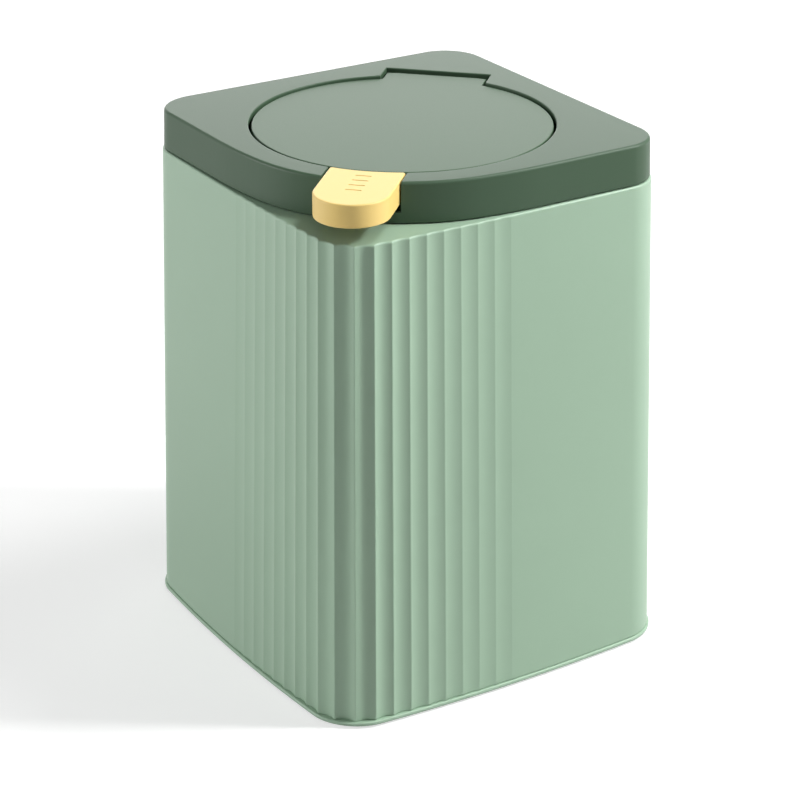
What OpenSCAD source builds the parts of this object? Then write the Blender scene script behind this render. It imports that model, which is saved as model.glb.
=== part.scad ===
// Push-top countertop bin. The fluted corner and the push button point to -X -Y.
// Millimetres, +Z up, origin under the middle of the bin.

/* [Body] */
// Width of the body across its top edge, at the corners
body_w = 130; // [110:1:160]
// How much wider the body is at the foot than at the top
body_flare = 6.2; // [0:0.2:10]
// Height of the body from the underside of its foot rim to its top edge
body_h = 172.5; // [120:0.5:240]
// Radius of the upright corners
corner_r = 15; // [12:0.5:18]
// Outward crown of each face at the top edge
crown_top = 0.8; // [0:0.1:2]
// Outward crown of each face at the foot
crown_foot = 3.4; // [0:0.1:6]
// Wall thickness behind the deepest flute
body_wall = 1.4; // [1.2:0.1:3]
// Thickness of the deck that closes the top of the body
deck_t = 2.5; // [2:0.1:4]
// Width of the deck ledge, from the lid's outline in to the opening
deck_ledge = 5.9; // [5:0.1:8]
// Flutes on each face, not counting the one on the corner
flute_count = 9; // [4:1:14]
// Depth of the flute on the corner
flute_depth = 1.6; // [0.3:0.1:1.8]
// Depth of each further flute as a share of the one before it
flute_fade = 0.8; // [0.6:0.05:1]

/* [Foot] */
// Thickness of the foot rim and of the floor of the base
rim_t = 1.5; // [1.2:0.1:3]
// How far the foot rim stands proud of the body
rim_proud = 0.6; // [0.2:0.1:2]
// Height of the base's upstand inside the body
upstand_h = 10; // [5:0.5:20]
// Thickness of the base's upstand
upstand_t = 2; // [1.5:0.1:3]
// Thickness of the base floor
floor_t = 2.4; // [2:0.1:4]
// Radius of a foot pad
pad_r = 6.8; // [4:0.1:9]
// Thickness of a foot pad
pad_t = 2; // [1.5:0.1:3]
// How far a foot pad stands below the foot rim
pad_proud = 0.8; // [0.4:0.1:1.5]
// Distance of a foot pad's centre in from the side of the foot
pad_inset = 22; // [18:0.5:30]

/* [Lid] */
// How far the lid's straight sides lie in from the body's top edge
lid_inset = 0.2; // [0:0.1:1]
// Height of the lid's side
lid_h = 14.3; // [13.5:0.1:18]
// Wall and top thickness of the lid
lid_wall = 2; // [1.6:0.1:2.4]
// Dark joint left between the lid's lower edge and the deck
lid_joint = 0.4; // [0.2:0.1:0.8]
// Width of the lid's top between its sides and the flap opening
side_rim_w = 12.4; // [10:0.1:16]
// Width of the lid's top between its curved front and the flap opening
front_rim_w = 10.3; // [9.8:0.1:12]
// How far the flap opening is moved from the lid's middle towards the button
flap_shift = 1.33; // [0:0.01:3]
// Radius of the slow curve between a straight side and the curved front
blend_r = 175; // [120:1:250]
// Thickness of the lid frame's plate
plate_t = 2; // [1.6:0.1:2.4]
// Depth of the frame's collar inside the body
collar_h = 12; // [6:0.5:20]
// Thickness of the collar and of the throat ring
collar_t = 1.6; // [1.2:0.1:2]
// Width of the throat ring and of the ledge outside it, in from the flap opening
throat_inset = 6.4; // [6.2:0.1:9]

/* [Flap] */
// Thickness of the flap's cover
flap_t = 2.2; // [1.8:0.1:2.4]
// How far the flap's top lies below the lid's top
flap_drop = 0.8; // [0.5:0.1:1.5]
// Gap round the flap
flap_gap = 1; // [0.6:0.1:1.5]
// Gap behind the hinge tab
tab_gap = 2.6; // [1.2:0.1:3]
// Width of the opening for the hinge tab
tab_w = 38.6; // [34:0.2:44]
// How far the tab's opening reaches beyond the round opening
tab_reach = 6.9; // [6.5:0.1:8]
// Height of the liner under the flap's cover
liner_h = 5; // [4.6:0.1:5.2]
// Plate and wall thickness of the liner
liner_t = 1.6; // [1.2:0.1:2]
// Distance of the liner's wall in from the flap opening
liner_inset = 3.5; // [3.3:0.1:4]

/* [Hinge] */
// Radius of the hinge pin
pin_r = 1.25; // [1:0.05:1.4]
// Radial clearance of a pin that turns
pin_fit = 0.05; // [0.03:0.01:0.09]
// Outer radius of the flap's knuckles
knuckle_r = 2.8; // [2.5:0.1:2.9]
// Length of a knuckle
knuckle_l = 6.8; // [4:0.1:7]
// Distance of the hinge axis behind the round opening
hinge_back = 2.4; // [2.2:0.1:2.8]
// Depth of the hinge axis below the underside of the lid's top
hinge_drop = 2.4; // [2.4:0.1:3]
// Thickness of the frame's hinge ears
ear_t = 3.2; // [2.4:0.1:4]
// Radius of the top of an ear
ear_r = 2.3; // [2:0.1:2.4]
// Wire radius of a hinge spring
hinge_wire_r = 0.35; // [0.25:0.05:0.4]
// Mean radius of a hinge spring's coil
hinge_coil_r = 1.75; // [1.7:0.05:1.8]
// Turns of a hinge spring
hinge_turns = 5; // [3:1:6]
// Length of a hinge spring's coil along the pin
hinge_coil_l = 6.2; // [5:0.1:6.5]

/* [Button] */
// Width of the button
button_w = 25.4; // [22:0.2:30]
// Length of the button from the flap opening to the tip of its nose
button_l = 33; // [28:0.5:40]
// Height of the button
button_h = 8; // [7.6:0.1:8.4]
// Wall thickness of the button
button_wall = 1.8; // [1.4:0.1:2.2]
// Gap between the button and each side of its notch
button_gap = 0.5; // [0.3:0.1:1]
// Depth of the notch in the lid's side below the button
notch_clear = 2.2; // [2:0.1:2.6]
// Length of each grip groove on the button
groove_l = 5.6; // [3:0.1:10]
// Width of a grip groove
groove_w = 0.7; // [0.4:0.1:1]
// Depth of a grip groove
groove_depth = 0.3; // [0.1:0.05:0.6]
// Spacing of the grip grooves
groove_pitch = 4.6; // [2:0.1:6]

/* [Latch] */
// Height of the lever's pin above the deck
lever_z = 1.2; // [1:0.1:1.6]
// Distance of the lever's pin inside the flap opening's edge
lever_in = 0.1; // [0:0.1:0.3]
// Outer radius of the lever's barrel
barrel_r = 2.4; // [2.2:0.1:2.4]
// Width of the lever
lever_w = 20; // [16:0.5:22]
// Thickness of the lever's plate
lever_t = 1.7; // [1.4:0.1:2]
// Width of the latch tooth
tooth_w = 13; // [8:0.5:14]
// Height of the tooth's underside above the liner's underside
tooth_z = 2.5; // [2.3:0.1:2.7]
// Overlap of the tooth over the flap's catch lip
tooth_bite = 0.8; // [0.4:0.1:0.8]
// Radius of the return spring's coil
return_coil_r = 2; // [1.6:0.1:2.2]
// Wire radius of the return spring
return_wire_r = 0.25; // [0.2:0.05:0.3]
// Turns of the return spring
return_turns = 4; // [3:1:4]

/* [Screws] */
// Shank radius of the screws
screw_r = 1.4; // [1:0.1:1.5]
// Head radius of the screws
head_r = 2.6; // [2.2:0.1:2.8]
// Head height of the screws
head_h = 1.5; // [1.2:0.1:1.6]
// Shank radius of the button's two small screws
small_screw_r = 1.1; // [0.9:0.1:1.2]
// Head radius of the small screws
small_head_r = 2; // [1.8:0.1:2.1]
// Head height of the small screws
small_head_h = 1.2; // [1:0.1:1.3]
// Radial clearance round a screw in its boss
thread_fit = 0.03; // [0.02:0.01:0.08]

/* [Hidden] */

leaf_green = "#9fbaa2";
moss_green = "#5d7560";
top_green = "#849b86";
yellow = "#fbe49a";
rubber = "#3d4440";
steel = "#c3c6c8";

eps = 0.01;
press_turn = 225;        // turns +X of the press frame to the fluted corner
flute_steps = 8;         // facets across one flute
edge_chamfer = 0.5;      // on the deck's outer edge
base_fit = 0.25;         // between the base's upstand and the body
pocket_fit = 0.2;        // round a foot pad in its pocket
collar_fit = 0.5;        // between the collar and the deck opening
plate_fit = 0.4;         // between the frame's plate and the lid's wall
run_gap = 0.3;           // between pieces that move past each other
hole_fit = 0.3;          // round a screw's shank in the piece it holds
boss_wall = 1.6;         // plastic left round a screw
head_sink = 0.2;         // from the frame's underside up to a screw's head
pad_web = 1.2;           // plastic above a screw's head
spring_gap = 0.4;        // round the springs
lip_t = 1.6;             // thickness of the flap's catch lip
face_in = 1.5;           // from the lever's pin in to the face of its upright
upright_t = 3;           // thickness of that upright
tooth_h = 1.8;           // height of the tooth at its root
tooth_nose = 0.7;        // and at its edge
post_wall = 1.3;         // plastic left round a small screw
boss_r = screw_r + boss_wall;

// body, from the floor up
rim_z = pad_proud;
wall_z = rim_z + rim_t;
deck_z = rim_z + body_h;
half_top = body_w/2;
half_foot = half_top + body_flare/2;

// lid
lid_half = half_top - lid_inset;
lid_z = deck_z + lid_h;
lid_under = lid_z - lid_wall;
open_r = lid_half - side_rim_w;
front_r = open_r + front_rim_w;
flap_c = -flap_shift/sqrt(2);
plate_top = deck_z + plate_t;
throat_r = open_r - throat_inset;
blend_x = flap_c + sqrt(pow(blend_r - front_r, 2) - pow(blend_r - lid_half - flap_c, 2));
blend_a = asin((blend_x - flap_c)/(blend_r - front_r));

// flap
flap_top = lid_z - flap_drop;
flap_under = flap_top - flap_t;
flap_r = open_r - flap_gap;
liner_under = flap_under - liner_h;
liner_r = open_r - liner_inset;
tab_half = tab_w/2;
tab_back = open_r + tab_reach;
hinge_u = flap_shift - open_r - hinge_back;
hinge_z = lid_under - hinge_drop;
knuckle_w = tab_half - flap_gap - run_gap - knuckle_l;
spring_w = knuckle_w - 1 - hinge_coil_l;
relief_r = hinge_coil_r + hinge_wire_r + spring_gap;
ear_w = tab_half + run_gap;
pin_l = 2*(ear_w + ear_t);

// button and latch
button_u = flap_shift + open_r;
nose_r = button_w/2;
nose_u = button_u + button_l - nose_r;
button_under = lid_z - button_h;
notch_z = button_under - notch_clear;
lever_u = button_u - lever_in;
lever_pin_z = deck_z + lever_z;
lever_face = lever_u - face_in;
lip_u = lever_face - spring_gap;
tooth_u = lip_u - tooth_bite;
tooth_bottom = liner_under + tooth_z;
lip_top = tooth_bottom - run_gap;
lip_bottom = lip_top - lip_t;
lip_w = tooth_w + 1;
lever_end = flap_shift + sqrt(pow(front_r - lid_wall, 2) - pow(lever_w/2, 2)) - 0.9;
window_w = lever_w + 2*run_gap;
lever_ear_t = 3;
lever_pin_l = window_w + 2*lever_ear_t;
return_u = lever_u + barrel_r + return_coil_r + return_wire_r + spring_gap;
post_u = lever_u + barrel_r + small_head_r - 0.2;
post_w = 6.6;
post_r = small_screw_r + post_wall;

// screws
frame_pad_z = deck_z + head_sink + head_h + hole_fit + pad_web;
frame_head_z = deck_z + head_sink;
frame_shank_l = 8;
flap_shank_l = 4.6;
button_shank_l = 4.4;
pilot_end = 0.4;         // left beyond a screw's tip
pad_wall = 1.2;          // round a screw's head in the frame
pad_gap = 0.5;           // between that and the lid's wall
corner_screw = lid_half - corner_r + 2;
side_screw_w = 14;
side_screw = side_at(side_screw_w) - lid_wall - head_r - pad_wall - pad_gap;
front_screw_a = 22;
front_screw_ring = open_r + (front_rim_w - lid_wall)/2;
frame_screw_at = [[corner_screw, -corner_screw], [corner_screw, corner_screw],
    [-corner_screw, corner_screw], [side_screw_w, -side_screw], [-side_screw, side_screw_w],
    flap_at(front_screw_ring, front_screw_a), flap_at(front_screw_ring, -front_screw_a)];
flap_screw_ring = open_r - 14;
flap_screw_at = [for (a = [45:90:315]) flap_at(flap_screw_ring, a)];

function lerp(a, b, t) = a + (b - a)*t;
function dir(a) = [cos(a), sin(a)];
function deg(x) = x*180/PI;
function arc(c, r, a0, a1, n) = [for (i = [0:n]) c + r*dir(lerp(a0, a1, i/n))];
// half width of the lid at x, on its -Y side, where the slow curve draws it in
function side_at(x) = lid_half - blend_r + sqrt(pow(blend_r, 2) - pow(max(0, blend_x - x), 2));
// a place at radius r from the flap's centre, a degrees round from the button
function flap_at(r, a) = [flap_c, flap_c] + r*dir(press_turn + a);

// rounded square of half width a and corner radius r, walked from the front corner's
// middle along the -Y face: place and outward direction at the distance s
function walk_dir(s, a, r) = let(q = PI*r/4, f = 2*(a - r))
    s < q ? 225 + deg(s/r) :
    s < q + f ? 270 :
    s < 3*q + f ? 270 + deg((s - q - f)/r) :
    s < 3*q + 2*f ? 360 : 360 + deg((s - 3*q - 2*f)/r);
function walk_at(s, a, r) = let(q = PI*r/4, f = 2*(a - r), c = a - r)
    s < q ? [-c, -c] + r*dir(walk_dir(s, a, r)) :
    s < q + f ? [s - q - c, -a] :
    s < 3*q + f ? [c, -c] + r*dir(walk_dir(s, a, r)) :
    s < 3*q + 2*f ? [a, s - 3*q - f - c] : [c, c] + r*dir(walk_dir(s, a, r));
function crowned(p, a, b) =
    [p[0]*(1 + b*(1 - pow(p[1]/a, 2))/a), p[1]*(1 + b*(1 - pow(p[0]/a, 2))/a)];

// distances at which the outline of half a body is cut into facets
function stations(a, r) = let(q = PI*r/4, f = 2*(a - r), mid = q + f/2,
    n = flute_steps*(flute_count + 0.5))
    concat([for (i = [0:n]) mid*i/n], [for (i = [1:4]) lerp(mid, q + f, i/4)],
        [for (i = [1:10]) q + f + 2*q*i/10], [for (i = [1:8]) 3*q + f + f*i/8],
        [for (i = [1:5]) 3*q + 2*f + q*i/5]);
// depth of the flutes at the distance s: full on the corner, fading from flute to flute
function flute_cut(s, a, r, depth) = let(pitch = (PI*r/4 + a - r)/(flute_count + 0.5),
    t = s/pitch + 0.5, i = floor(t), x = 2*(t - i) - 1)
    i > flute_count ? 0 : depth*pow(flute_fade, i)*(1 - x*x);
function outline(a, r, b, depth) = let(half = [for (s = stations(a, r))
    crowned(walk_at(s, a, r) - flute_cut(s, a, r, depth)*dir(walk_dir(s, a, r)), a, b)],
    last = len(half) - 1)
    concat(half, [for (i = [last - 1:-1:1]) [half[i][1], half[i][0]]]);
// outline of the body at the height z, drawn in by inset
function body_outline(z, inset, depth) = let(t = (deck_z - z)/body_h)
    outline(lerp(half_top, half_foot, t) - inset, corner_r - inset,
        lerp(crown_top, crown_foot, t), depth);

// solid through a stack of outlines, each [points, z]
module skin(stack) {
    n = len(stack[0][0]);
    top = len(stack) - 1;
    points = [for (ring = stack) for (p = ring[0]) [p[0], p[1], ring[1]]];
    walls = [for (k = [0:top - 1]) for (i = [0:n - 1]) let(j = (i + 1) % n)
        for (f = [[k*n + i, k*n + n + i, k*n + n + j], [k*n + i, k*n + n + j, k*n + j]]) f];
    polyhedron(points, concat([[for (i = [0:n - 1]) i]], walls,
        [[for (i = [n - 1:-1:0]) top*n + i]]), convexity = 6);
}

// the lid seen from above: three round corners and a front that runs with the flap
module lid_plan(inset) {
    c = lid_half - corner_r;
    r = corner_r - inset;
    polygon(concat(arc([c, -c], r, 270, 360, 12), arc([c, c], r, 0, 90, 12),
        arc([-c, c], r, 90, 180, 12),
        arc([blend_r - lid_half, blend_x], blend_r - inset, 180, 180 + blend_a, 5),
        arc([flap_c, flap_c], front_r - inset, 180 + blend_a, 270 - blend_a, 32),
        arc([blend_x, blend_r - lid_half], blend_r - inset, 270 - blend_a, 270, 5)));
}

// children in the press frame: +X towards the button's nose, +Y along the hinges
module press_frame() {
    rotate([0, 0, press_turn]) children();
}

// a cylinder along the hinges, from y0 to y1, at x and z
module cross_rod(x, z, r, y0, y1) {
    translate([x, y1, z]) rotate([90, 0, 0]) cylinder(r = r, h = y1 - y0, $fn = 48);
}

module block(x0, x1, half_y, z0, z1) {
    translate([x0, -half_y, z0]) cube([x1 - x0, 2*half_y, z1 - z0]);
}

module ring_wall(r, t, z0, z1) {
    translate([flap_shift, 0, z0]) difference() {
        cylinder(r = r, h = z1 - z0, $fn = 96);
        translate([0, 0, -eps]) cylinder(r = r - t, h = z1 - z0 + 2*eps, $fn = 96);
    }
}

// screw standing on its head, and the pilot hole that its shank needs above the height z0
module screw(shank_l, r = screw_r, r_head = head_r, h_head = head_h) {
    cylinder(r = r_head, h = h_head, $fn = 32);
    translate([0, 0, h_head]) cylinder(r = r, h = shank_l, $fn = 24);
}
module pilot(z0, tip_z, r = screw_r) {
    translate([0, 0, z0 - 1]) cylinder(r = r + thread_fit, h = tip_z + pilot_end - z0 + 1, $fn = 24);
}

// round wire of radius r along a path of points, ends cut square to the path
module wire(path, r, sides = 6) {
    n = len(path);
    points = [for (i = [0:n - 1]) let(d = path[min(i + 1, n - 1)] - path[max(i - 1, 0)],
        t = d/norm(d), a = cross(t, [0.31, 0.17, 0.93]), u = a/norm(a), v = cross(t, u))
        for (k = [0:sides - 1]) path[i] + r*cos(360*k/sides)*u + r*sin(360*k/sides)*v];
    walls = [for (i = [0:n - 2]) for (k = [0:sides - 1]) let(m = (k + 1) % sides)
        for (f = [[i*sides + k, i*sides + sides + k, i*sides + sides + m],
            [i*sides + k, i*sides + sides + m, i*sides + m]]) f];
    polyhedron(points, concat([[for (k = [0:sides - 1]) k]], walls,
        [[for (k = [sides - 1:-1:0]) (n - 1)*sides + k]]), convexity = 8);
}

module bin_body() {
    inner = body_wall + flute_depth;
    color(leaf_green) resize([0, 0, 0]) difference() {
        skin([[body_outline(wall_z, 0, flute_depth), wall_z],
            [body_outline(deck_z - edge_chamfer, 0, flute_depth), deck_z - edge_chamfer],
            [body_outline(deck_z, edge_chamfer, flute_depth), deck_z]]);
        skin([[body_outline(wall_z - 1, inner, 0), wall_z - 1],
            [body_outline(deck_z - deck_t, inner, 0), deck_z - deck_t]]);
        translate([0, 0, deck_z - deck_t - 1]) linear_extrude(deck_t + 2) lid_plan(deck_ledge);
    }
}

module base_plate() {
    inner = body_wall + flute_depth + base_fit;
    top = wall_z + upstand_h;
    color(leaf_green) difference() {
        union() {
            translate([0, 0, rim_z]) linear_extrude(rim_t)
                polygon(body_outline(rim_z, -rim_proud, 0));
            translate([0, 0, rim_z]) linear_extrude(top - rim_z)
                polygon(body_outline(top, inner, 0));
        }
        translate([0, 0, rim_z + floor_t]) linear_extrude(upstand_h + rim_t)
            polygon(body_outline(top, inner + upstand_t, 0));
        for (i = [0:3]) foot_place(i) translate([0, 0, -1])
            cylinder(r = pad_r + pocket_fit, h = pad_t + 1, $fn = 48);
    }
}

module foot_place(i) {
    rotate([0, 0, press_turn + 90*i]) translate([(half_foot - pad_inset)*sqrt(2), 0, 0]) children();
}

module foot_pad(i) {
    color(rubber) foot_place(i) cylinder(r = pad_r, h = pad_t, $fn = 48);
}

// the round opening with its hinge tab, and the button's notch, as one cutter outline
module flap_opening() {
    translate([flap_shift, 0]) circle(r = open_r, $fn = 128);
    translate([flap_shift - tab_back, -tab_half]) square([tab_back, tab_w]);
}

module lid_cover() {
    boss_bottom = frame_pad_z;
    notch_half = button_w/2 + button_gap;
    color(moss_green) difference() {
        union() {
            difference() {
                translate([0, 0, deck_z + lid_joint]) linear_extrude(lid_h - lid_joint) lid_plan(0);
                translate([0, 0, deck_z]) linear_extrude(lid_under - deck_z) lid_plan(lid_wall);
            }
            for (p = frame_screw_at) translate([p[0], p[1], boss_bottom])
                cylinder(r = boss_r, h = lid_under - boss_bottom + eps, $fn = 32);
        }
        press_frame() {
            translate([0, 0, lid_under - 1]) linear_extrude(lid_wall + 2) flap_opening();
            block(open_r - 10, button_u + button_l, notch_half, notch_z, lid_z + 1);
        }
        for (p = frame_screw_at) translate([p[0], p[1], 0])
            pilot(boss_bottom, frame_head_z + head_h + frame_shank_l);
    }
}

module lid_frame() {
    ear_x0 = hinge_u - ear_r;
    lever_ear_w = window_w/2;
    window_x0 = lever_u - barrel_r - run_gap;
    window_x1 = lever_u + barrel_r + run_gap;
    color(moss_green) difference() {
        union() {
            translate([0, 0, deck_z]) linear_extrude(plate_t) lid_plan(lid_wall + plate_fit);
            translate([0, 0, deck_z - collar_h]) linear_extrude(collar_h + eps)
                lid_plan(deck_ledge + collar_fit);
            for (p = frame_screw_at) translate([p[0], p[1], deck_z])
                cylinder(r = head_r + pad_wall, h = frame_pad_z - deck_z, $fn = 32);
            press_frame() {
                ring_wall(throat_r + collar_t, collar_t, plate_top - eps, liner_under - run_gap);
                for (side = [-1, 1]) {
                    y0 = side > 0 ? ear_w : -ear_w - ear_t;
                    cross_rod(hinge_u, hinge_z, ear_r, y0, y0 + ear_t);
                    translate([ear_x0, y0, deck_z]) cube([2*ear_r, ear_t, hinge_z - deck_z]);
                    v0 = side > 0 ? lever_ear_w : -lever_ear_w - lever_ear_t;
                    cross_rod(lever_u, lever_pin_z, barrel_r, v0, v0 + lever_ear_t);
                    translate([lever_u - barrel_r, v0, deck_z])
                        cube([2*barrel_r, lever_ear_t, lever_z]);
                }
            }
        }
        translate([0, 0, deck_z - collar_h - 1]) linear_extrude(collar_h + 1)
            difference() {
                lid_plan(deck_ledge + collar_fit + collar_t);
                press_frame() for (side = [-1, 1])
                    translate([lever_u - barrel_r, side*(lever_ear_w + lever_ear_t/2)])
                        square([2*barrel_r, lever_ear_t], center = true);
            }
        press_frame() {
            translate([flap_shift, 0, deck_z - 1]) cylinder(r = throat_r, h = lid_h, $fn = 96);
            block(window_x0, window_x1, window_w/2, deck_z - 1, plate_top + 1);
            cross_rod(hinge_u, hinge_z, pin_r + thread_fit, -pin_l, pin_l);
            cross_rod(lever_u, lever_pin_z, pin_r + thread_fit, -lever_pin_l, lever_pin_l);
        }
        for (p = frame_screw_at) translate([p[0], p[1], deck_z - 1]) {
            cylinder(r = head_r + hole_fit, h = frame_head_z - deck_z + head_h + 1, $fn = 32);
            cylinder(r = screw_r + hole_fit, h = lid_h, $fn = 24);
        }
    }
}

module frame_screws() {
    color(steel) for (p = frame_screw_at) translate([p[0], p[1], frame_head_z])
        screw(frame_shank_l);
}

module hinge_pin() {
    color(steel) press_frame() cross_rod(hinge_u, hinge_z, pin_r, -pin_l/2, pin_l/2);
}

// torsion spring on the hinge pin: one leg stands on the frame, the other lifts the liner
module hinge_spring(side) {
    lean = 25;
    leg_l = (flap_shift - liner_r + 1 - hinge_u + hinge_coil_r*sin(lean))/cos(lean);
    stand = hinge_z - plate_top - run_gap;
    turn = 360*(hinge_turns - 1) + 270 - lean - 180;
    n = 16*hinge_turns;
    y0 = side*spring_w;
    coil = [for (i = [0:n]) let(a = 180 + (turn + 360)*i/n)
        [hinge_u + hinge_coil_r*cos(a), y0 + side*hinge_coil_l*i/n, hinge_z + hinge_coil_r*sin(a)]];
    foot = [hinge_u - hinge_coil_r, y0, hinge_z];
    tip = coil[n];
    color(steel) press_frame() wire(concat(
        [foot - [0, 0, stand], foot - [0, 0, stand/2], foot - [0, 0, 1]], coil,
        [for (k = [1:3]) tip + k/3*leg_l*[cos(lean), 0, -sin(lean)]]), hinge_wire_r);
}

module flap_cover() {
    boss_bottom = liner_under + liner_t;
    color(top_green) difference() {
        union() {
            press_frame() {
                translate([flap_shift, 0, flap_under]) cylinder(r = flap_r, h = flap_t, $fn = 128);
                translate([flap_shift - tab_back + tab_gap, -tab_half + flap_gap, flap_under])
                    cube([tab_back - tab_gap, tab_w - 2*flap_gap, flap_t]);
                for (side = [-1, 1]) {
                    y0 = side > 0 ? knuckle_w : -knuckle_w - knuckle_l;
                    cross_rod(hinge_u, hinge_z, knuckle_r, y0, y0 + knuckle_l);
                }
            }
            for (p = flap_screw_at) translate([p[0], p[1], boss_bottom])
                cylinder(r = boss_r, h = flap_under - boss_bottom + eps, $fn = 32);
        }
        press_frame() {
            cross_rod(hinge_u, hinge_z, pin_r + pin_fit, -pin_l, pin_l);
            cross_rod(hinge_u, hinge_z, relief_r, -knuckle_w, knuckle_w);
        }
        for (p = flap_screw_at) translate([p[0], p[1], 0])
            pilot(boss_bottom, liner_under + flap_shank_l);
    }
}

module flap_liner() {
    color(moss_green) difference() {
        press_frame() {
            translate([flap_shift, 0, liner_under]) cylinder(r = liner_r, h = liner_t, $fn = 96);
            ring_wall(liner_r, liner_t, liner_under, flap_under);
            difference() {
                block(flap_shift + liner_r - liner_t, lip_u, lip_w/2, lip_bottom, lip_top);
                translate([flap_shift, 0, liner_under])
                    cylinder(r = liner_r - liner_t/2, h = liner_h, $fn = 96);
            }
        }
        for (p = flap_screw_at) translate([p[0], p[1], liner_under - 1])
            cylinder(r = screw_r + hole_fit, h = liner_h, $fn = 24);
    }
}

module flap_screws() {
    color(steel) for (p = flap_screw_at) translate([p[0], p[1], liner_under - head_h])
        screw(flap_shank_l);
}

module push_button() {
    cavity_r = nose_r - button_wall;
    color(yellow) press_frame() difference() {
        union() {
            difference() {
                translate([0, 0, button_under]) linear_extrude(button_h) button_plan(nose_r, 0);
                translate([0, 0, button_under - 1]) linear_extrude(button_h - button_wall + 1)
                    button_plan(cavity_r, button_wall);
            }
            for (side = [-1, 1]) translate([post_u, side*post_w, button_under])
                cylinder(r = post_r, h = button_h - button_wall + eps, $fn = 32);
        }
        block(lever_face - 1, button_u + button_wall + 1, tooth_w/2 + run_gap + 0.5,
            button_under - 1, tooth_bottom + tooth_h + 2*run_gap);
        for (side = [-1, 1]) translate([post_u, side*post_w, 0])
            pilot(button_under, button_under - lever_t + button_shank_l, small_screw_r);
        for (k = [0:3]) translate([nose_u - 1.5 - k*groove_pitch, 0, lid_z])
            cube([groove_w, groove_l, 2*groove_depth], center = true);
    }
}

module button_plan(r, back) {
    difference() {
        union() {
            translate([nose_u, 0]) circle(r = r, $fn = 96);
            translate([open_r - 12, -r]) square([nose_u - open_r + 12, 2*r]);
        }
        translate([flap_shift, 0]) circle(r = open_r + back, $fn = 128);
    }
}

module latch_lever() {
    top = button_under;
    low = top - lever_t;
    tooth_top = tooth_bottom + tooth_h;
    color(moss_green) press_frame() difference() {
        union() {
            cross_rod(lever_u, lever_pin_z, barrel_r, -lever_w/2, lever_w/2);
            block(lever_face, lever_face + upright_t, lever_w/2, lever_pin_z, low + eps);
            block(lever_face, lever_end, lever_w/2, low, top);
            block(lever_face, lever_face + upright_t - 0.2, tooth_w/2, top - eps, tooth_top);
            translate([0, tooth_w/2, 0]) rotate([90, 0, 0]) linear_extrude(tooth_w)
                polygon([[lever_face + eps, tooth_bottom], [tooth_u, tooth_bottom],
                    [tooth_u, tooth_bottom + tooth_nose], [lever_face + eps, tooth_top]]);
        }
        cross_rod(lever_u, lever_pin_z, pin_r + pin_fit, -lever_w, lever_w);
        for (side = [-1, 1]) translate([post_u, side*post_w, low - 1])
            cylinder(r = small_screw_r + hole_fit, h = lever_t + 2, $fn = 24);
    }
}

module button_screws() {
    color(steel) press_frame() for (side = [-1, 1])
        translate([post_u, side*post_w, button_under - lever_t - small_head_h])
            screw(button_shank_l, small_screw_r, small_head_r, small_head_h);
}

module lever_pin() {
    color(steel) press_frame()
        cross_rod(lever_u, lever_pin_z, pin_r, -lever_pin_l/2, lever_pin_l/2);
}

// return spring between the frame's plate and the lever
module lever_spring() {
    z0 = plate_top + return_wire_r + 0.05;
    z1 = button_under - lever_t - return_wire_r - 0.05;
    n = 16*return_turns;
    color(steel) press_frame() wire([for (i = [0:n]) let(a = 360*return_turns*i/n)
        [return_u + return_coil_r*cos(a), return_coil_r*sin(a), lerp(z0, z1, i/n)]],
        return_wire_r);
}

bin_body();
base_plate();
foot_pad(0);  // foot_pad_front
foot_pad(1);  // foot_pad_right
foot_pad(2);  // foot_pad_back
foot_pad(3);  // foot_pad_left
lid_cover();
lid_frame();
frame_screws();
hinge_pin();
hinge_spring(-1);  // hinge_spring_left
hinge_spring(1);  // hinge_spring_right
flap_cover();
flap_liner();
flap_screws();
push_button();
latch_lever();
button_screws();
lever_pin();
lever_spring();
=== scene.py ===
from math import asin, atan2, cos, degrees, floor, pi, radians, sin, sqrt

import bmesh
import bpy
from mathutils import Matrix, Vector


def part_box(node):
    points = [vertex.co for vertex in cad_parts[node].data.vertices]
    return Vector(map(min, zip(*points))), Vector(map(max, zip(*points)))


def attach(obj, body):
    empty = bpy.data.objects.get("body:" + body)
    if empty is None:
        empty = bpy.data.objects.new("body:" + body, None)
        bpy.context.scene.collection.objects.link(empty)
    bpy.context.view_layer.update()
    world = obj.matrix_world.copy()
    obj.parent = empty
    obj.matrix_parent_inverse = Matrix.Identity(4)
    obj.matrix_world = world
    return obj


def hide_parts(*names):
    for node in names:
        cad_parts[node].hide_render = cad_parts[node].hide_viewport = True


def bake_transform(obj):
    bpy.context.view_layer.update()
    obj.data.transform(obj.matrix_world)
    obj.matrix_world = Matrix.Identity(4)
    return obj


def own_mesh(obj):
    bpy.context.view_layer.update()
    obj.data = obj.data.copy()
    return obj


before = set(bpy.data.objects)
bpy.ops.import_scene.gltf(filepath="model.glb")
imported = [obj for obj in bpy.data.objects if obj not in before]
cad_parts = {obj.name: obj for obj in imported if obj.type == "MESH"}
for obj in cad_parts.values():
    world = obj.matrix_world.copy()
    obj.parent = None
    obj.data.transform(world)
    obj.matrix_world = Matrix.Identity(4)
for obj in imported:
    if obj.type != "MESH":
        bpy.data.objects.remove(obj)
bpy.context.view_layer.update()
scene = bpy.context.scene
print("frame loaded:", len(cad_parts), "nodes")

mm = 0.001
pressTurn = 225            # turns +X to the fluted corner; the lid's pieces are drawn along it
past = 1                   # how far a cutting tool stands out of what it cuts
sunk = 0.5                 # how deep a boss starts inside the plate that it stands on
floorOfBody, deckZ = (z / mm for z in (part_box("bin_body")[0].z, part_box("bin_body")[1].z))
lidBottom, lidZ = (z / mm for z in (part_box("lid_cover")[0].z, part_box("lid_cover")[1].z))


# small geometry tools, all in millimetres

def mix(a, b, t):
    return a + (b - a) * t


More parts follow.
